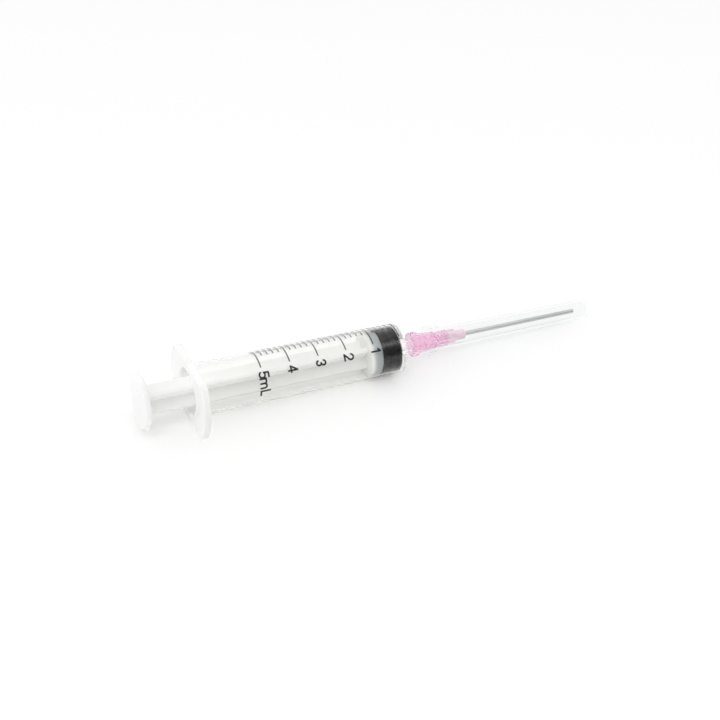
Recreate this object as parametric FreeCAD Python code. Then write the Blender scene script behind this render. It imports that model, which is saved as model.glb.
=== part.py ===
import FreeCAD, Part

import math
import os

# A 5 mL slip-tip syringe with a blunt needle and its clear sheath, lying on its side.
# Every piece is built straight, with the syringe's axis on X, the needle toward +X, and x = 0 at the
# rear face of the finger flange. One placement then lays the finished pieces down as they rest.

# Barrel
BORE_DIAMETER = 12.5
BARREL_WALL = 0.7
BARREL_LENGTH = 60.9
FRONT_WALL = 1.1
FRONT_EDGE_RADIUS = 0.6
FRONT_CONE_DEPTH = 1.2
MOUTH_FLARE = 0.35

# Finger flange
FLANGE_SPAN = 27.0
FLANGE_ACROSS_FLATS = 17.0
FLANGE_THICKNESS = 1.9
FLANGE_CORNER_RADIUS = 3.0
FLANGE_EDGE_RADIUS = 0.4
FLANGE_ROOT_RADIUS = 0.8

# Slip nozzle, with the 6 percent taper that the hub's socket shares
NOZZLE_LENGTH = 9.4
NOZZLE_TIP_DIAMETER = 3.96
NOZZLE_BORE = 2.0
SLIP_TAPER = 0.06
NOZZLE_TIP_CHAMFER = 0.25

# Scale
SCALE_CAPACITY = 5
MARKS_PER_ML = 5
ZERO_MARK_SETBACK = 1.4
INK_THICKNESS = 0.03
MARK_WIDTH = 0.32
MARK_START_ANGLE = 124.0
MAJOR_MARK_END_ANGLE = 56.0
MINOR_MARK_END_ANGLE = 87.0
NUMERAL_HEIGHT = 3.0
NUMERAL_WIDTH = 2.1
NUMERAL_STROKE = 0.48
NUMERAL_ANGLE = 39.0
UNIT_M_ANGLE = 20.5
UNIT_L_ANGLE = -2.5
UNIT_M_WIDTH = 3.0
NUMERAL_LEAD = 1.85

# Shapes of the glyphs: shares of a glyph's half width or half height, and angles round its bowls
ONE_FLAG_SHARE = 0.8
CURL_START_ANGLE = 165.0
TWO_BOWL_SHARE = 0.92
TWO_BOWL_END_ANGLE = -40.0
FOUR_STEM_SHARE = 0.45
FOUR_BAR_SHARE = 0.4
FIVE_BOWL_SHARE = 0.95
FIVE_BOWL_SHIFT_SHARE = 0.05
FIVE_STEM_SHARE = 0.7
FIVE_FLAG_SHARE = 0.8
FIVE_WAIST_ANGLE = 140.0
FIVE_END_ANGLE = -150.0
UNIT_M_TOP_SHARE = 0.3
UNIT_L_WIDTH_SHARE = 0.8

# Stopper
STOPPER_LENGTH = 5.3
STOPPER_CLEARANCE = 0.03
STOPPER_END_GAP = 0.3
STOPPER_RIB_WIDTH = 0.9
STOPPER_GROOVE_DEPTH = 0.55
STOPPER_RIB_COUNT = 3
STOPPER_NOSE_SETBACK = 0.18
STOPPER_NOSE_LAND = 0.55

# Plunger rod
THUMB_DISC_DIAMETER = 15.0
THUMB_DISC_THICKNESS = 1.8
THUMB_DISC_EDGE_RADIUS = 0.6
THUMB_GAP = 11.6
RIB_SPAN = 7.8
RIB_THICKNESS = 1.3
RIB_ANGLE = 37.0
HEAD_DIAMETER = 12.0
HEAD_THICKNESS = 3.5
HEAD_EDGE_RADIUS = 0.3
BUTTON_DIAMETER = 7.2
BUTTON_THICKNESS = 1.6
BUTTON_NECK_DIAMETER = 4.6
BUTTON_NECK_LENGTH = 1.1
BUTTON_CLEARANCE = 0.05

# Needle hub
HUB_SEAT_GAP = 4.4
SEAT_CLEARANCE = 0.02
HUB_RIM_DIAMETER = 6.8
HUB_RIM_THICKNESS = 1.6
HUB_BODY_REAR_DIAMETER = 5.9
HUB_BODY_FRONT_DIAMETER = 4.7
HUB_BODY_LENGTH = 5.7
HUB_SOCKET_DEPTH = 7.0
HUB_NECK_DIAMETER = 3.9
HUB_NECK_LENGTH = 0.8
HUB_CORE_DIAMETER = 3.0
HUB_FIN_COUNT = 6
HUB_FIN_THICKNESS = 0.65
HUB_GRIP_FIN_DIAMETER = 4.5
HUB_GRIP_FIN_LENGTH = 3.4
HUB_FRONT_FIN_DIAMETER = 4.0
HUB_FRONT_FIN_LENGTH = 2.5
HUB_NOSE_LENGTH = 3.1
HUB_NOSE_TIP_DIAMETER = 2.7
HUB_FUNNEL_LENGTH = 1.4
HUB_CHAMBER_DIAMETER = 1.6

# Cannula and its glue
CANNULA_DIAMETER = 1.27
CANNULA_BORE = 0.84
CANNULA_EXPOSED_LENGTH = 37.2
CANNULA_SEATED_LENGTH = 5.7
GLUE_WELL_DIAMETER = 2.2
GLUE_WELL_DEPTH = 2.2
GLUE_RISE = 0.6

# Sheath
SHEATH_CLEARANCE = 0.03
SHEATH_COLLAR_DIAMETER = 8.2
SHEATH_COLLAR_WALL = 0.8
SHEATH_COLLAR_LENGTH = 3.2
SHEATH_SHOULDER_LENGTH = 0.7
SHEATH_WALL = 0.85
SHEATH_TIP_DIAMETER = 5.7
SHEATH_TIP_GAP = 3.8
SHEATH_TIP_ROUNDING = 1.2
SHEATH_INNER_ROUNDING = 0.9
SHEATH_COLLAR_OVERLAP = 2.1

# Sizes worked out from the ones above
BORE_RADIUS = BORE_DIAMETER / 2
BARREL_RADIUS = BORE_RADIUS + BARREL_WALL
INNER_END = BARREL_LENGTH - FRONT_WALL
ZERO_MARK = BARREL_LENGTH - ZERO_MARK_SETBACK
ML_IN_CUBIC_MM = 1000.0
MARK_PITCH = ML_IN_CUBIC_MM / (math.pi * BORE_RADIUS ** 2)
NOZZLE_TIP = BARREL_LENGTH + NOZZLE_LENGTH

STOPPER_FRONT = INNER_END - STOPPER_END_GAP
STOPPER_REAR = STOPPER_FRONT - STOPPER_LENGTH
STOPPER_RADIUS = BORE_RADIUS - STOPPER_CLEARANCE

THUMB_FACE = -THUMB_GAP - THUMB_DISC_THICKNESS
HEAD_FRONT = STOPPER_REAR - BUTTON_CLEARANCE

HUB_REAR = BARREL_LENGTH + HUB_SEAT_GAP
HUB_BODY_END = HUB_REAR + HUB_RIM_THICKNESS + HUB_BODY_LENGTH
HUB_GRIP_START = HUB_BODY_END + HUB_NECK_LENGTH
HUB_GRIP_END = HUB_GRIP_START + HUB_GRIP_FIN_LENGTH
HUB_FIN_END = HUB_GRIP_END + HUB_FRONT_FIN_LENGTH
HUB_FRONT = HUB_FIN_END + HUB_NOSE_LENGTH
CANNULA_TIP = HUB_FRONT + CANNULA_EXPOSED_LENGTH
CANNULA_REAR = HUB_FRONT - CANNULA_SEATED_LENGTH

SHEATH_BORE_RADIUS = HUB_GRIP_FIN_DIAMETER / 2 + SHEATH_CLEARANCE
SHEATH_MOUTH = HUB_BODY_END - SHEATH_COLLAR_OVERLAP
SHEATH_SHOULDER = SHEATH_MOUTH + SHEATH_COLLAR_LENGTH
SHEATH_TUBE_START = SHEATH_SHOULDER + SHEATH_SHOULDER_LENGTH
SHEATH_INNER_END = CANNULA_TIP + SHEATH_TIP_GAP
SHEATH_TIP = SHEATH_INNER_END + SHEATH_WALL

AXIS_X = FreeCAD.Vector(1, 0, 0)
AXIS_Y = FreeCAD.Vector(0, 1, 0)
ORIGIN = FreeCAD.Vector(0, 0, 0)


def at(x, y, z):
    return FreeCAD.Vector(x, y, z)


def turned(outline):
    """A solid of revolution about the axis. The outline is a closed loop of (x, radius) corners.
    A corner with four numbers is (x, radius, bulge x, bulge radius): an arc through the bulge ends there."""
    edges = []
    previous = outline[-1]
    for corner in outline:
        start = at(previous[0], 0, previous[1])
        end = at(corner[0], 0, corner[1])
        if len(corner) == 4:
            edges.append(Part.Arc(start, at(corner[2], 0, corner[3]), end).toShape())
        elif start.distanceToPoint(end) > 0:
            edges.append(Part.makeLine(start, end))
        previous = corner
    face = Part.Face(Part.Wire(edges))
    return face.revolve(ORIGIN, AXIS_X, 360)


def rounded(centre_x, centre_radius, radius, from_angle, to_angle):
    """The last corner of an arc in an outline, with its bulge half way; angles from +x toward outward."""
    middle = math.radians((from_angle + to_angle) / 2)
    last = math.radians(to_angle)
    return (
        centre_x + radius * math.cos(last),
        centre_radius + radius * math.sin(last),
        centre_x + radius * math.cos(middle),
        centre_radius + radius * math.sin(middle),
    )


def around(piece, angle):
    """A copy of the piece turned about the axis."""
    copy = piece.copy()
    copy.rotate(ORIGIN, AXIS_X, angle)
    return copy


def disc(rear, front, diameter):
    return Part.makeCylinder(diameter / 2, front - rear, at(rear, 0, 0), AXIS_X)


def rounded_disc(rear, front, diameter, edge):
    """A disc on the axis with both of its rims rounded."""
    radius = diameter / 2
    return turned([
        (rear, 0),
        (rear, radius - edge),
        rounded(rear + edge, radius - edge, edge, 180, 90),
        (front - edge, radius),
        rounded(front - edge, radius - edge, edge, 90, 0),
        (front, 0),
    ])


def slip_radius(x, clearance=0.0):
    """Radius of the nozzle's taper at x; the hub's socket adds its clearance."""
    return NOZZLE_TIP_DIAMETER / 2 + (NOZZLE_TIP - x) * SLIP_TAPER / 2 + clearance


# Barrel

def flange_plate():
    half_flat = FLANGE_ACROSS_FLATS / 2
    circle = Part.makeCylinder(FLANGE_SPAN / 2, FLANGE_THICKNESS, ORIGIN, AXIS_X)
    band = Part.makeBox(
        FLANGE_THICKNESS, FLANGE_SPAN, FLANGE_ACROSS_FLATS, at(0, -FLANGE_SPAN / 2, -half_flat)
    )
    plate = circle.common(band)
    corners = [edge for edge in plate.Edges if edge.BoundBox.XLength > FLANGE_THICKNESS / 2
               and edge.BoundBox.YLength < FLANGE_EDGE_RADIUS]
    plate = plate.makeFillet(FLANGE_CORNER_RADIUS, corners)
    rims = [edge for edge in plate.Edges if edge.BoundBox.XLength < FLANGE_THICKNESS / 2]
    return plate.makeFillet(FLANGE_EDGE_RADIUS, rims)


def barrel():
    root = FLANGE_ROOT_RADIUS
    front_edge = BARREL_RADIUS - FRONT_EDGE_RADIUS
    nozzle_root = BARREL_LENGTH + FRONT_CONE_DEPTH
    nozzle_bore = NOZZLE_BORE / 2
    skin = turned([
        (FLANGE_THICKNESS / 2, 0),
        (FLANGE_THICKNESS / 2, BARREL_RADIUS + root),
        (FLANGE_THICKNESS, BARREL_RADIUS + root),
        rounded(FLANGE_THICKNESS + root, BARREL_RADIUS + root, root, 180, 270),
        (BARREL_LENGTH - FRONT_EDGE_RADIUS, BARREL_RADIUS),
        rounded(BARREL_LENGTH - FRONT_EDGE_RADIUS, front_edge, FRONT_EDGE_RADIUS, 90, 0),
        (nozzle_root, slip_radius(nozzle_root)),
        (NOZZLE_TIP - NOZZLE_TIP_CHAMFER, slip_radius(NOZZLE_TIP - NOZZLE_TIP_CHAMFER)),
        (NOZZLE_TIP, slip_radius(NOZZLE_TIP) - NOZZLE_TIP_CHAMFER),
        (NOZZLE_TIP, 0),
    ])
    hollow = turned([
        (-BARREL_WALL, 0),
        (-BARREL_WALL, BORE_RADIUS + MOUTH_FLARE + BARREL_WALL),
        (MOUTH_FLARE, BORE_RADIUS),
        (INNER_END, BORE_RADIUS),
        (INNER_END + FRONT_CONE_DEPTH, nozzle_bore),
        (NOZZLE_TIP + BARREL_WALL, nozzle_bore),
        (NOZZLE_TIP + BARREL_WALL, 0),
    ])
    return flange_plate().fuse(skin).cut(hollow).removeSplitter()


# Printed scale

def ink_layer():
    """A thin skin of ink on the barrel, from which the marks and numerals are cut."""
    length = BARREL_LENGTH - FRONT_EDGE_RADIUS
    outer = Part.makeCylinder(BARREL_RADIUS + INK_THICKNESS, length, ORIGIN, AXIS_X)
    return outer.cut(Part.makeCylinder(BARREL_RADIUS, length, ORIGIN, AXIS_X))


def mark(x, end_angle):
    """One printed line of the scale, an arc strip that starts beyond the top of the barrel."""
    strip = Part.Face(Part.makePolygon([
        at(x - MARK_WIDTH / 2, 0, BARREL_RADIUS),
        at(x + MARK_WIDTH / 2, 0, BARREL_RADIUS),
        at(x + MARK_WIDTH / 2, 0, BARREL_RADIUS + INK_THICKNESS),
        at(x - MARK_WIDTH / 2, 0, BARREL_RADIUS + INK_THICKNESS),
        at(x - MARK_WIDTH / 2, 0, BARREL_RADIUS),
    ]))
    # Angles run from the near side (0) over the top (90), so a turn about the axis takes 90 degrees off.
    strip.rotate(ORIGIN, AXIS_X, 90 - end_angle)
    return strip.revolve(ORIGIN, AXIS_X, end_angle - MARK_START_ANGLE)


def scale_marks():
    marks = []
    for step in range(SCALE_CAPACITY * MARKS_PER_ML + 1):
        is_major = step % MARKS_PER_ML == 0
        end_angle = MAJOR_MARK_END_ANGLE if is_major else MINOR_MARK_END_ANGLE
        marks.append(mark(ZERO_MARK - step * MARK_PITCH / MARKS_PER_ML, end_angle))
    return Part.makeCompound(marks)


def line_stroke(start, end):
    """A printed stroke with round ends, flat in the plane of the glyph."""
    half = NUMERAL_STROKE / 2
    along = (end - start).normalize() * half
    side = FreeCAD.Vector(-along.y, along.x, 0)
    return Part.Face(Part.Wire([
        Part.makeLine(start + side, end + side),
        Part.Arc(end + side, end + along, end - side).toShape(),
        Part.makeLine(end - side, start - side),
        Part.Arc(start - side, start - along, start + side).toShape(),
    ]))


def round_point(centre, radius, angle):
    """The point at an angle round a centre, in the plane of the glyph."""
    turn = math.radians(angle)
    return centre + at(radius * math.cos(turn), radius * math.sin(turn), 0)


def arc_stroke(centre, radius, from_angle, to_angle):
    """A printed stroke along a circular arc, with round ends."""
    half = NUMERAL_STROKE / 2
    outer = radius + half
    inner = radius - half
    middle = (from_angle + to_angle) / 2
    way = math.copysign(90, to_angle - from_angle)
    outer_start = round_point(centre, outer, from_angle)
    outer_end = round_point(centre, outer, to_angle)
    inner_start = round_point(centre, inner, from_angle)
    inner_end = round_point(centre, inner, to_angle)
    tip = round_point(round_point(centre, radius, to_angle), half, to_angle + way)
    tail = round_point(round_point(centre, radius, from_angle), half, from_angle - way)
    return Part.Face(Part.Wire([
        Part.Arc(outer_start, round_point(centre, outer, middle), outer_end).toShape(),
        Part.Arc(outer_end, tip, inner_end).toShape(),
        Part.Arc(inner_end, round_point(centre, inner, middle), inner_start).toShape(),
        Part.Arc(inner_start, tail, outer_start).toShape(),
    ]))


def glyph_strokes(name):
    """The strokes of one glyph, centred on the origin, with x to the right and y up."""
    half_width = (NUMERAL_WIDTH - NUMERAL_STROKE) / 2
    half_height = (NUMERAL_HEIGHT - NUMERAL_STROKE) / 2
    if name == "1":
        flag = half_width * ONE_FLAG_SHARE
        return [
            line_stroke(at(0, -half_height, 0), at(0, half_height, 0)),
            line_stroke(at(0, half_height, 0), at(-flag, half_height - flag, 0)),
        ]
    if name == "2":
        bowl = half_width * TWO_BOWL_SHARE
        centre = at(0, half_height - bowl, 0)
        low = at(-half_width, -half_height, 0)
        return [
            arc_stroke(centre, bowl, CURL_START_ANGLE, TWO_BOWL_END_ANGLE),
            line_stroke(round_point(centre, bowl, TWO_BOWL_END_ANGLE), low),
            line_stroke(low, at(half_width, -half_height, 0)),
        ]
    if name == "3":
        bowl = half_height / 2
        return [
            arc_stroke(at(0, half_height - bowl, 0), bowl, CURL_START_ANGLE, -90),
            arc_stroke(at(0, -half_height + bowl, 0), bowl, 90, -CURL_START_ANGLE),
        ]
    if name == "4":
        stem = half_width * FOUR_STEM_SHARE
        bar = -half_height * FOUR_BAR_SHARE
        return [
            line_stroke(at(stem, -half_height, 0), at(stem, half_height, 0)),
            line_stroke(at(stem, half_height, 0), at(-half_width, bar, 0)),
            line_stroke(at(-half_width, bar, 0), at(half_width, bar, 0)),
        ]
    if name == "5":
        bowl = half_width * FIVE_BOWL_SHARE
        corner = at(-half_width * FIVE_STEM_SHARE, half_height, 0)
        centre = at(-half_width * FIVE_BOWL_SHIFT_SHARE, -half_height + bowl, 0)
        return [
            line_stroke(corner, at(half_width * FIVE_FLAG_SHARE, half_height, 0)),
            line_stroke(corner, round_point(centre, bowl, FIVE_WAIST_ANGLE)),
            arc_stroke(centre, bowl, FIVE_WAIST_ANGLE, FIVE_END_ANGLE),
        ]
    if name == "m":
        pitch = (UNIT_M_WIDTH - NUMERAL_STROKE) / 2
        arch = pitch / 2
        top = half_height * UNIT_M_TOP_SHARE
        shoulder = top - arch
        strokes = [line_stroke(at(-pitch, -half_height, 0), at(-pitch, top, 0))]
        for left in (-pitch, 0):
            strokes.append(arc_stroke(at(left + arch, shoulder, 0), arch, 180, 0))
            strokes.append(line_stroke(at(left + pitch, shoulder, 0), at(left + pitch, -half_height, 0)))
        return strokes
    side = half_width * UNIT_L_WIDTH_SHARE
    return [
        line_stroke(at(-side, half_height, 0), at(-side, -half_height, 0)),
        line_stroke(at(-side, -half_height, 0), at(side, -half_height, 0)),
    ]


def glyph(name, x, angle, ink):
    """A glyph in ink at x along the barrel. Its top points toward the needle and it reads downward."""
    strokes = [stroke.extrude(at(0, 0, BARREL_RADIUS)) for stroke in glyph_strokes(name)]
    block = strokes[0].multiFuse(strokes[1:]).removeSplitter()
    block.rotate(ORIGIN, at(0, 0, 1), -90)
    block.translate(at(x, 0, BARREL_RADIUS / 2))
    block.rotate(ORIGIN, AXIS_X, 90 - angle)
    return block.common(ink).removeSplitter()


def scale_numerals():
    ink = ink_layer()
    glyphs = []
    for number in range(1, SCALE_CAPACITY + 1):
        x = ZERO_MARK - number * MARK_PITCH + NUMERAL_LEAD - NUMERAL_HEIGHT / 2
        glyphs.append(glyph(str(number), x, NUMERAL_ANGLE, ink))
    unit_x = ZERO_MARK - SCALE_CAPACITY * MARK_PITCH + NUMERAL_LEAD - NUMERAL_HEIGHT / 2
    glyphs.append(glyph("m", unit_x, UNIT_M_ANGLE, ink))
    glyphs.append(glyph("L", unit_x, UNIT_L_ANGLE, ink))
    return Part.makeCompound([solid for one in glyphs for solid in one.Solids])


# Stopper

def stopper():
    groove_radius = STOPPER_RADIUS - STOPPER_GROOVE_DEPTH
    nose = STOPPER_FRONT + FRONT_CONE_DEPTH - STOPPER_NOSE_SETBACK
    pitch = (STOPPER_LENGTH - STOPPER_RIB_WIDTH) / (STOPPER_RIB_COUNT - 1)
    outline = [(STOPPER_REAR, 0), (STOPPER_REAR, STOPPER_RADIUS)]
    for index in range(1, STOPPER_RIB_COUNT):
        rib_end = STOPPER_REAR + (index - 1) * pitch + STOPPER_RIB_WIDTH
        next_rib = STOPPER_REAR + index * pitch
        middle = (rib_end + next_rib) / 2
        outline.append((rib_end, STOPPER_RADIUS))
        outline.append((next_rib, STOPPER_RADIUS, middle, groove_radius))
    outline.append((STOPPER_FRONT, STOPPER_RADIUS))
    outline.append((nose, NOZZLE_BORE / 2 + STOPPER_NOSE_LAND))
    outline.append((nose, 0))
    button_rear = STOPPER_REAR + BUTTON_NECK_LENGTH - BUTTON_CLEARANCE
    button_front = STOPPER_REAR + BUTTON_NECK_LENGTH + BUTTON_THICKNESS + BUTTON_CLEARANCE
    neck = disc(STOPPER_REAR, button_front, BUTTON_NECK_DIAMETER + 2 * BUTTON_CLEARANCE)
    pocket = disc(button_rear, button_front, BUTTON_DIAMETER + 2 * BUTTON_CLEARANCE)
    return turned(outline).cut(neck.fuse(pocket))


# Plunger rod

def plunger_rod():
    thumb_front = THUMB_FACE + THUMB_DISC_THICKNESS
    thumb = rounded_disc(THUMB_FACE, thumb_front, THUMB_DISC_DIAMETER, THUMB_DISC_EDGE_RADIUS)
    rib_start = (THUMB_FACE + thumb_front) / 2
    head_rear = HEAD_FRONT - HEAD_THICKNESS
    head_middle = (head_rear + HEAD_FRONT) / 2
    rib_corner = at(rib_start, -RIB_SPAN / 2, -RIB_THICKNESS / 2)
    rib = Part.makeBox(head_middle - rib_start, RIB_SPAN, RIB_THICKNESS, rib_corner)
    button_rear = STOPPER_REAR + BUTTON_NECK_LENGTH
    button_front = button_rear + BUTTON_THICKNESS
    pieces = [
        around(rib, RIB_ANGLE),
        around(rib, RIB_ANGLE - 90),
        rounded_disc(head_rear, HEAD_FRONT, HEAD_DIAMETER, HEAD_EDGE_RADIUS),
        disc(head_middle, button_front, BUTTON_NECK_DIAMETER),
        disc(button_rear, button_front, BUTTON_DIAMETER),
    ]
    return thumb.multiFuse(pieces).removeSplitter()


# Needle hub, cannula and glue

def needle_hub():
    rim_front = HUB_REAR + HUB_RIM_THICKNESS
    neck_radius = HUB_NECK_DIAMETER / 2
    nose_tip_radius = HUB_NOSE_TIP_DIAMETER / 2
    skin = turned([
        (HUB_REAR, 0),
        (HUB_REAR, HUB_RIM_DIAMETER / 2),
        (rim_front, HUB_RIM_DIAMETER / 2),
        (rim_front, HUB_BODY_REAR_DIAMETER / 2),
        (HUB_BODY_END, HUB_BODY_FRONT_DIAMETER / 2),
        (HUB_BODY_END, neck_radius),
        (HUB_GRIP_START, neck_radius),
        (HUB_GRIP_START, HUB_CORE_DIAMETER / 2),
        (HUB_FIN_END, HUB_CORE_DIAMETER / 2),
        (HUB_FRONT, nose_tip_radius),
        (HUB_FRONT, 0),
    ])
    # The fins are cut from two plain drums, so their outer edges stay round.
    drums = disc(HUB_GRIP_START, HUB_GRIP_END, HUB_GRIP_FIN_DIAMETER).fuse(
        disc(HUB_GRIP_END, HUB_FIN_END, HUB_FRONT_FIN_DIAMETER)
    )
    blade = Part.makeBox(
        HUB_FIN_END - HUB_GRIP_START, HUB_GRIP_FIN_DIAMETER, HUB_FIN_THICKNESS,
        at(HUB_GRIP_START, 0, -HUB_FIN_THICKNESS / 2),
    )
    fins = [around(blade, index * 360 / HUB_FIN_COUNT).common(drums) for index in range(HUB_FIN_COUNT)]
    socket_end = HUB_REAR + HUB_SOCKET_DEPTH
    hole_radius = CANNULA_DIAMETER / 2
    well_start = HUB_FRONT - GLUE_WELL_DEPTH
    hollow = turned([
        (HUB_REAR, 0),
        (HUB_REAR, slip_radius(HUB_REAR, SEAT_CLEARANCE)),
        (socket_end, slip_radius(socket_end, SEAT_CLEARANCE)),
        (socket_end + HUB_FUNNEL_LENGTH, HUB_CHAMBER_DIAMETER / 2),
        (CANNULA_REAR, HUB_CHAMBER_DIAMETER / 2),
        (CANNULA_REAR, hole_radius),
        (well_start, hole_radius),
        (HUB_FRONT, GLUE_WELL_DIAMETER / 2),
        (HUB_FRONT, 0),
    ])
    return skin.multiFuse(fins).cut(hollow).removeSplitter()


def cannula():
    tube = disc(CANNULA_REAR, CANNULA_TIP, CANNULA_DIAMETER)
    return tube.cut(disc(CANNULA_REAR, CANNULA_TIP, CANNULA_BORE))


def cannula_adhesive():
    hole_radius = CANNULA_DIAMETER / 2
    return turned([
        (HUB_FRONT - GLUE_WELL_DEPTH, hole_radius),
        (HUB_FRONT, GLUE_WELL_DIAMETER / 2),
        (HUB_FRONT + GLUE_RISE, hole_radius),
    ])


# Sheath

def needle_sheath():
    collar_radius = SHEATH_COLLAR_DIAMETER / 2
    grip_radius = SHEATH_BORE_RADIUS + SHEATH_WALL
    tip_radius = SHEATH_TIP_DIAMETER / 2
    rounding = SHEATH_TIP_ROUNDING
    inner_rounding = SHEATH_INNER_ROUNDING
    collar_bore = collar_radius - SHEATH_COLLAR_WALL
    inner_tip = tip_radius - SHEATH_WALL
    skin = turned([
        (SHEATH_MOUTH, 0),
        (SHEATH_MOUTH, collar_radius),
        (SHEATH_SHOULDER, collar_radius),
        (SHEATH_TUBE_START, grip_radius),
        (SHEATH_TIP - rounding, tip_radius),
        rounded(SHEATH_TIP - rounding, tip_radius - rounding, rounding, 90, 0),
        (SHEATH_TIP, 0),
    ])
    hollow = turned([
        (SHEATH_MOUTH, 0),
        (SHEATH_MOUTH, collar_bore),
        (SHEATH_SHOULDER - SHEATH_COLLAR_WALL, collar_bore),
        (SHEATH_TUBE_START - SHEATH_COLLAR_WALL, SHEATH_BORE_RADIUS),
        (HUB_GRIP_END, SHEATH_BORE_RADIUS),
        (SHEATH_INNER_END - inner_rounding, inner_tip),
        rounded(SHEATH_INNER_END - inner_rounding, inner_tip - inner_rounding, inner_rounding, 90, 0),
        (SHEATH_INNER_END, 0),
    ])
    return skin.cut(hollow)


# Rest: the flange lies on its lower flat and the barrel's front edge touches the same surface

def rest_tilt():
    """The nose-down angle at which a flat surface touches the flange's lower front edge and the barrel's
    rounded front edge."""
    corner_x = FLANGE_THICKNESS - FLANGE_EDGE_RADIUS
    corner_z = FLANGE_ACROSS_FLATS / 2 - FLANGE_EDGE_RADIUS
    front_x = BARREL_LENGTH - FRONT_EDGE_RADIUS
    front_z = BARREL_RADIUS - FRONT_EDGE_RADIUS
    run = front_x - corner_x
    rise = corner_z - front_z
    distance = math.hypot(run, rise)
    # The two rounded edges are circles of different radius, so their common tangent adds a small angle.
    return math.atan2(rise, run) + math.asin((FLANGE_EDGE_RADIUS - FRONT_EDGE_RADIUS) / distance)


def rest_height(tilt):
    """Height of the syringe's own origin above that surface."""
    front_x = BARREL_LENGTH - FRONT_EDGE_RADIUS
    front_z = BARREL_RADIUS - FRONT_EDGE_RADIUS
    return front_x * math.sin(tilt) + front_z * math.cos(tilt) + FRONT_EDGE_RADIUS


def rest_placement(pieces):
    """Lays the straight syringe down, with the origin under its middle on the surface that carries it."""
    tilt = rest_tilt()
    turn = FreeCAD.Rotation(AXIS_Y, math.degrees(tilt))
    tilted = FreeCAD.Placement(at(0, 0, rest_height(tilt)), turn)
    whole = Part.makeCompound(list(pieces.values()))
    whole.Placement = tilted
    middle = whole.optimalBoundingBox(False).Center.x
    return FreeCAD.Placement(at(-middle, 0, rest_height(tilt)), turn)


PIECES = {
    "barrel": barrel(),
    "scale_marks": scale_marks(),
    "scale_numerals": scale_numerals(),
    "stopper": stopper(),
    "plunger_rod": plunger_rod(),
    "needle_hub": needle_hub(),
    "cannula": cannula(),
    "cannula_adhesive": cannula_adhesive(),
    "needle_sheath": needle_sheath(),
}
REST = rest_placement(PIECES)

os.makedirs("parts", exist_ok=True)
for node, shape in PIECES.items():
    shape.Placement = REST.multiply(shape.Placement)
    shape.exportStep("parts/" + node + ".step")
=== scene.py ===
import bpy
from mathutils import Matrix, Vector

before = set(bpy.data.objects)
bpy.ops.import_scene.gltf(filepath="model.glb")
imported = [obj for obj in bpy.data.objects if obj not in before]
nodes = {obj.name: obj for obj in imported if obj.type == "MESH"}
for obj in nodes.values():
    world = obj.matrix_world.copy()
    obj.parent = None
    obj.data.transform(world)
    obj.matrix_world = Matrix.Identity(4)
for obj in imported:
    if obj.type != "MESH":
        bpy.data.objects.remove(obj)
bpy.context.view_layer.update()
MM = 0.001

# Places along the syringe, in metres from the middle of its length.
FLANGE_FRONT = (-0.0532, -0.0525)
# The stretch over which the plunger head's painted shade fades in.
PLUNGER_HEAD_SHADE = (-0.0046, -0.003)
HUB_NOSE = (0.0195, 0.0225)

NOISE_RANGE = (0.3, 0.7)
HAZE_START = 0.25
# The Mix node has sockets of the same name for each type of data, so its colours go by number.
MIX_COLOUR_A, MIX_COLOUR_B, MIX_COLOUR_RESULT = 6, 7, 2

FLOOR_SIZE = 6.0
# The share of glowing white paper in the floor's look where it is seen directly, which keeps it white.
PAPER_SHARE = 0.3
# Light crosses many clear walls here, and a path that ends too soon leaves black rims in them.
MAX_BOUNCES = 32


# Node helpers

def new_material(name):
    """A material with a Principled shader, as (material, tree, shader)."""
    material = bpy.data.materials.new(name)
    material.use_nodes = True
    tree = material.node_tree
    return material, tree, tree.nodes["Principled BSDF"]


def add(tree, kind, **values):
    """Adds a node; a value named after a socket sets that socket, any other a property of the node."""
    node = tree.nodes.new(kind)
    for name, value in values.items():
        socket = name.replace("_", " ")
        if socket in node.inputs:
            node.inputs[socket].default_value = value
        else:
            setattr(node, name, value)
    return node


def noise(tree, scale, detail=3.0, stretch=(1.0, 1.0, 1.0)):
    """Noise laid out in metres on the object, drawn out along an axis by the stretch."""
    place = add(tree, "ShaderNodeTexCoord")
    spread = add(tree, "ShaderNodeMapping")
    spread.inputs["Scale"].default_value = stretch
    texture = add(tree, "ShaderNodeTexNoise", Scale=scale, Detail=detail)
    tree.links.new(place.outputs["Object"], spread.inputs["Vector"])
    tree.links.new(spread.outputs["Vector"], texture.inputs["Vector"])
    return texture.outputs["Fac"]


def mapped(tree, value, from_min, from_max, to_min, to_max, interpolation="LINEAR"):
    """The value brought from one range to another, and held at its ends."""
    node = add(tree, "ShaderNodeMapRange", interpolation_type=interpolation,
               From_Min=from_min, From_Max=from_max, To_Min=to_min, To_Max=to_max)
    tree.links.new(value, node.inputs["Value"])
    return node.outputs["Result"]


def ranged(tree, value, low, high):
    """Noise brought from its usual range to the given one."""
    return mapped(tree, value, *NOISE_RANGE, low, high)


def mixed(tree, value, first, second):
    """A colour between two, by the value; each is three numbers or another node's output."""
    node = add(tree, "ShaderNodeMix", data_type="RGBA")
    for index, colour in ((MIX_COLOUR_A, first), (MIX_COLOUR_B, second)):
        if isinstance(colour, tuple):
            node.inputs[index].default_value = (*colour, 1.0)
        else:
            tree.links.new(colour, node.inputs[index])
    tree.links.new(value, node.inputs["Factor"])
    return node.outputs[MIX_COLOUR_RESULT]


def clouded(tree, value, first, second):
    """A colour that the noise varies between two."""
    return mixed(tree, ranged(tree, value, 0.0, 1.0), first, second)


def bumped(tree, shader, height, distance, strength):
    """Drives the shader's normal with a relief of the given depth in metres."""
    node = add(tree, "ShaderNodeBump", Strength=strength, Distance=distance)
    tree.links.new(height, node.inputs["Height"])
    tree.links.new(node.outputs["Normal"], shader.inputs["Normal"])


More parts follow.
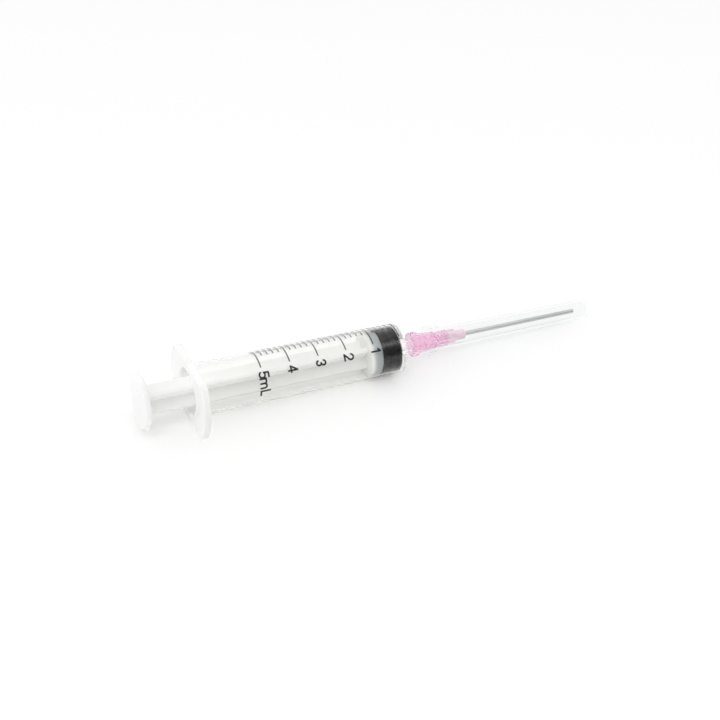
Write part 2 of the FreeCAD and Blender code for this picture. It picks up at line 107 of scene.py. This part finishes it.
def hazed(tree, clear, milky):
    """How clear the plastic is: milky where it is seen edge on, as its walls look longer there."""
    slant = add(tree, "ShaderNodeLayerWeight", Blend=0.5)
    return mapped(tree, slant.outputs["Facing"], HAZE_START, 1.0, clear, milky, "SMOOTHSTEP")


def along(tree, start, end, first, second):
    """Passes from one value to another between two places along the syringe, in metres."""
    place = add(tree, "ShaderNodeTexCoord")
    split = add(tree, "ShaderNodeSeparateXYZ")
    tree.links.new(place.outputs["Object"], split.inputs["Vector"])
    return mapped(tree, split.outputs["X"], start, end, first, second, "SMOOTHSTEP")


def let_lamps_through(tree, shader, tint):
    """Lamp light and light scattered by other surfaces pass straight through the plastic, tinted."""
    path = add(tree, "ShaderNodeLightPath")
    either = add(tree, "ShaderNodeMath", operation="MAXIMUM")
    tree.links.new(path.outputs["Is Shadow Ray"], either.inputs[0])
    tree.links.new(path.outputs["Is Diffuse Ray"], either.inputs[1])
    clear = add(tree, "ShaderNodeBsdfTransparent", Color=(*tint, 1.0))
    mix = add(tree, "ShaderNodeMixShader")
    tree.links.new(either.outputs[0], mix.inputs["Fac"])
    tree.links.new(shader.outputs["BSDF"], mix.inputs[1])
    tree.links.new(clear.outputs["BSDF"], mix.inputs[2])
    tree.links.new(mix.outputs["Shader"], tree.nodes["Material Output"].inputs["Surface"])


def dress(node, material):
    """Puts the material on every slot of a CAD node."""
    for slot in nodes[node].material_slots:
        slot.material = material


# Materials

def barrel_plastic():
    material, tree, shader = new_material("barrel_plastic_look")
    shader.inputs["IOR"].default_value = 1.22
    shader.inputs["Specular IOR Level"].default_value = 0.2
    # The thick flange is milkier than the thin tube.
    clearness = add(tree, "ShaderNodeMath", operation="MULTIPLY")
    tree.links.new(hazed(tree, 1.0, 0.8), clearness.inputs[0])
    tree.links.new(along(tree, *FLANGE_FRONT, 0.25, 1.0), clearness.inputs[1])
    tree.links.new(clearness.outputs[0], shader.inputs["Transmission Weight"])
    cloud = noise(tree, 60.0, 3.0, (0.4, 1.0, 1.0))
    tree.links.new(ranged(tree, cloud, 0.08, 0.12), shader.inputs["Roughness"])
    colour = clouded(tree, cloud, (0.983, 0.984, 0.976), (0.993, 0.994, 0.986))
    tree.links.new(colour, shader.inputs["Base Color"])
    bumped(tree, shader, noise(tree, 900.0, 2.0), 0.00001, 0.08)
    let_lamps_through(tree, shader, (0.97, 0.97, 0.96))
    return material


def plunger_plastic():
    material, tree, shader = new_material("plunger_plastic_look")
    shader.inputs["IOR"].default_value = 1.5
    shader.inputs["Subsurface Weight"].default_value = 1.0
    shader.inputs["Subsurface Radius"].default_value = (1.0, 1.0, 1.0)
    shader.inputs["Subsurface Scale"].default_value = 0.006
    cloud = noise(tree, 120.0, 3.0, (0.3, 1.0, 1.0))
    tree.links.new(ranged(tree, cloud, 0.36, 0.46), shader.inputs["Roughness"])
    # Painted shade: the head's colour turns to a darker bluish grey where it sits in the shade against
    # the black stopper.
    milky = clouded(tree, cloud, (0.945, 0.95, 0.92), (0.955, 0.96, 0.935))
    colour = mixed(tree, along(tree, *PLUNGER_HEAD_SHADE, 0.0, 1.0), milky, (0.46, 0.49, 0.515))
    tree.links.new(colour, shader.inputs["Base Color"])
    bumped(tree, shader, noise(tree, 1200.0, 3.0), 0.00002, 0.4)
    return material


def stopper_rubber():
    material, tree, shader = new_material("stopper_rubber_look")
    shader.inputs["Specular IOR Level"].default_value = 0.5
    grain = noise(tree, 1500.0, 4.0)
    tree.links.new(ranged(tree, grain, 0.2, 0.28), shader.inputs["Roughness"])
    colour = clouded(tree, grain, (0.004, 0.004, 0.005), (0.008, 0.008, 0.009))
    tree.links.new(colour, shader.inputs["Base Color"])
    bumped(tree, shader, grain, 0.00002, 0.5)
    return material


def hub_plastic():
    material, tree, shader = new_material("hub_plastic_look")
    shader.inputs["IOR"].default_value = 1.13
    # The solid nose around the tube is paler and milkier than the thin socket.
    tree.links.new(along(tree, *HUB_NOSE, 0.84, 0.2), shader.inputs["Transmission Weight"])
    cloud = noise(tree, 250.0, 2.0)
    tree.links.new(ranged(tree, cloud, 0.16, 0.24), shader.inputs["Roughness"])
    pink = clouded(tree, cloud, (1.0, 0.73, 0.89), (1.0, 0.77, 0.91))
    colour = mixed(tree, along(tree, *HUB_NOSE, 0.0, 1.0), pink, (1.0, 0.8, 0.89))
    tree.links.new(colour, shader.inputs["Base Color"])
    let_lamps_through(tree, shader, (0.985, 0.93, 0.965))
    return material


def cannula_steel():
    material, tree, shader = new_material("cannula_steel_look")
    shader.inputs["Metallic"].default_value = 1.0
    drawn = noise(tree, 900.0, 3.0, (0.05, 1.0, 1.0))
    tree.links.new(ranged(tree, drawn, 0.42, 0.55), shader.inputs["Roughness"])
    colour = clouded(tree, drawn, (0.6, 0.6, 0.61), (0.68, 0.68, 0.69))
    tree.links.new(colour, shader.inputs["Base Color"])
    bumped(tree, shader, drawn, 0.00001, 0.3)
    return material


def glue():
    material, tree, shader = new_material("glue_look")
    shader.inputs["IOR"].default_value = 1.3
    cloud = noise(tree, 800.0, 2.0)
    tree.links.new(ranged(tree, cloud, 0.1, 0.2), shader.inputs["Roughness"])
    colour = clouded(tree, cloud, (0.99, 0.86, 0.91), (0.99, 0.9, 0.94))
    tree.links.new(colour, shader.inputs["Base Color"])
    return material


def sheath_plastic():
    material, tree, shader = new_material("sheath_plastic_look")
    shader.inputs["IOR"].default_value = 1.02
    shader.inputs["Transmission Weight"].default_value = 1.0
    cloud = noise(tree, 80.0, 2.0, (0.3, 1.0, 1.0))
    tree.links.new(ranged(tree, cloud, 0.1, 0.16), shader.inputs["Roughness"])
    colour = clouded(tree, cloud, (0.955, 0.962, 0.96), (0.965, 0.972, 0.97))
    tree.links.new(colour, shader.inputs["Base Color"])
    let_lamps_through(tree, shader, (0.975, 0.98, 0.98))
    return material


def scale_ink():
    material, tree, shader = new_material("scale_ink_look")
    shader.inputs["IOR"].default_value = 1.45
    grain = noise(tree, 2500.0, 3.0)
    tree.links.new(ranged(tree, grain, 0.4, 0.6), shader.inputs["Roughness"])
    colour = clouded(tree, grain, (0.012, 0.012, 0.012), (0.03, 0.03, 0.03))
    tree.links.new(colour, shader.inputs["Base Color"])
    return material


dress("barrel", barrel_plastic())
dress("plunger_rod", plunger_plastic())
dress("stopper", stopper_rubber())
dress("needle_hub", hub_plastic())
dress("cannula", cannula_steel())
dress("cannula_adhesive", glue())
dress("needle_sheath", sheath_plastic())
INK = scale_ink()
dress("scale_marks", INK)
dress("scale_numerals", INK)


# Floor, background and light

def seen_directly(tree):
    """1 where a surface is seen itself or through clear plastic, 0 in reflections and scattered light."""
    path = add(tree, "ShaderNodeLightPath")
    either = add(tree, "ShaderNodeMath", operation="MAXIMUM")
    tree.links.new(path.outputs["Is Camera Ray"], either.inputs[0])
    tree.links.new(path.outputs["Is Transmission Ray"], either.inputs[1])
    result = either.outputs[0]
    for depth in ("Glossy Depth", "Diffuse Depth"):
        none_yet = add(tree, "ShaderNodeMath", operation="LESS_THAN")
        none_yet.inputs[1].default_value = 0.5
        both = add(tree, "ShaderNodeMath", operation="MULTIPLY")
        tree.links.new(path.outputs[depth], none_yet.inputs[0])
        tree.links.new(result, both.inputs[0])
        tree.links.new(none_yet.outputs[0], both.inputs[1])
        result = both.outputs[0]
    return result


bpy.ops.mesh.primitive_plane_add(size=FLOOR_SIZE, location=(0.0, 0.0, 0.0))
floor = bpy.context.object
floor.name = "floor"
material, tree, shader = new_material("floor_look")
shader.inputs["Roughness"].default_value = 0.9
shader.inputs["Specular IOR Level"].default_value = 0.0
shader.inputs["Base Color"].default_value = (0.98, 0.98, 0.98, 1.0)
paper = add(tree, "ShaderNodeEmission", Color=(1.0, 1.0, 1.0, 1.0), Strength=1.0)
share = add(tree, "ShaderNodeMath", operation="MULTIPLY")
share.inputs[1].default_value = PAPER_SHARE
tree.links.new(seen_directly(tree), share.inputs[0])
mix = add(tree, "ShaderNodeMixShader")
tree.links.new(share.outputs[0], mix.inputs["Fac"])
tree.links.new(shader.outputs["BSDF"], mix.inputs[1])
tree.links.new(paper.outputs["Emission"], mix.inputs[2])
tree.links.new(mix.outputs["Shader"], tree.nodes["Material Output"].inputs["Surface"])
floor.data.materials.append(material)

world = bpy.data.worlds.new("studio")
bpy.context.scene.world = world
world.use_nodes = True
tree = world.node_tree
background = tree.nodes["Background"]
place = add(tree, "ShaderNodeTexCoord")
upward = add(tree, "ShaderNodeVectorMath", operation="DOT_PRODUCT")
upward.inputs[1].default_value = (0.0, 0.8, 0.6)
tree.links.new(place.outputs["Generated"], upward.inputs[0])
# The studio is bright above and behind the syringe, and dim toward the camera.
grade = mapped(tree, upward.outputs["Value"], -0.35, 0.9, 0.3, 0.97, "SMOOTHSTEP")
by_sight = add(tree, "ShaderNodeMix", data_type="FLOAT", B=1.0)
tree.links.new(seen_directly(tree), by_sight.inputs["Factor"])
tree.links.new(grade, by_sight.inputs["A"])
tree.links.new(by_sight.outputs["Result"], background.inputs["Strength"])
background.inputs["Color"].default_value = (1.0, 1.0, 1.0, 1.0)


def soft_box(name, place, target, size, power):
    """A flat lamp that faces the target and leaves no reflection of itself."""
    lamp = bpy.data.lights.new(name, "AREA")
    lamp.shape = "RECTANGLE"
    lamp.size, lamp.size_y = size
    lamp.energy = power
    holder = bpy.data.objects.new(name, lamp)
    bpy.context.scene.collection.objects.link(holder)
    holder.location = place
    holder.rotation_euler = (Vector(target) - Vector(place)).to_track_quat("-Z", "Y").to_euler()
    holder.visible_glossy = False


soft_box("overhead", (-0.15, -0.9, 2.0), (0.0, 0.0, 0.0), (3.0, 0.9), 19.2)
soft_box("left", (-1.6, -0.5, 0.7), (-0.06, 0.0, 0.0), (1.2, 1.2), 5.0)


# Camera

RIGHT = Vector((0.90276, -0.42791, 0.0438)).normalized()
FORWARD = Vector((0.37381, 0.73023, -0.57187)).normalized()
UP = RIGHT.cross(FORWARD)
camera_data = bpy.data.cameras.new("camera")
camera_data.lens = 62.12
camera_data.sensor_width = 36.0
camera = bpy.data.objects.new("camera", camera_data)
bpy.context.scene.collection.objects.link(camera)
turn = Matrix((RIGHT, UP, -FORWARD)).transposed()
camera.matrix_world = Matrix.Translation(Vector((-133.7, -250.32, 201.7)) * MM) @ turn.to_4x4()
bpy.context.scene.camera = camera

scene = bpy.context.scene
scene.view_settings.view_transform = "Standard"
scene.cycles.max_bounces = MAX_BOUNCES
scene.cycles.glossy_bounces = MAX_BOUNCES
scene.cycles.transmission_bounces = MAX_BOUNCES
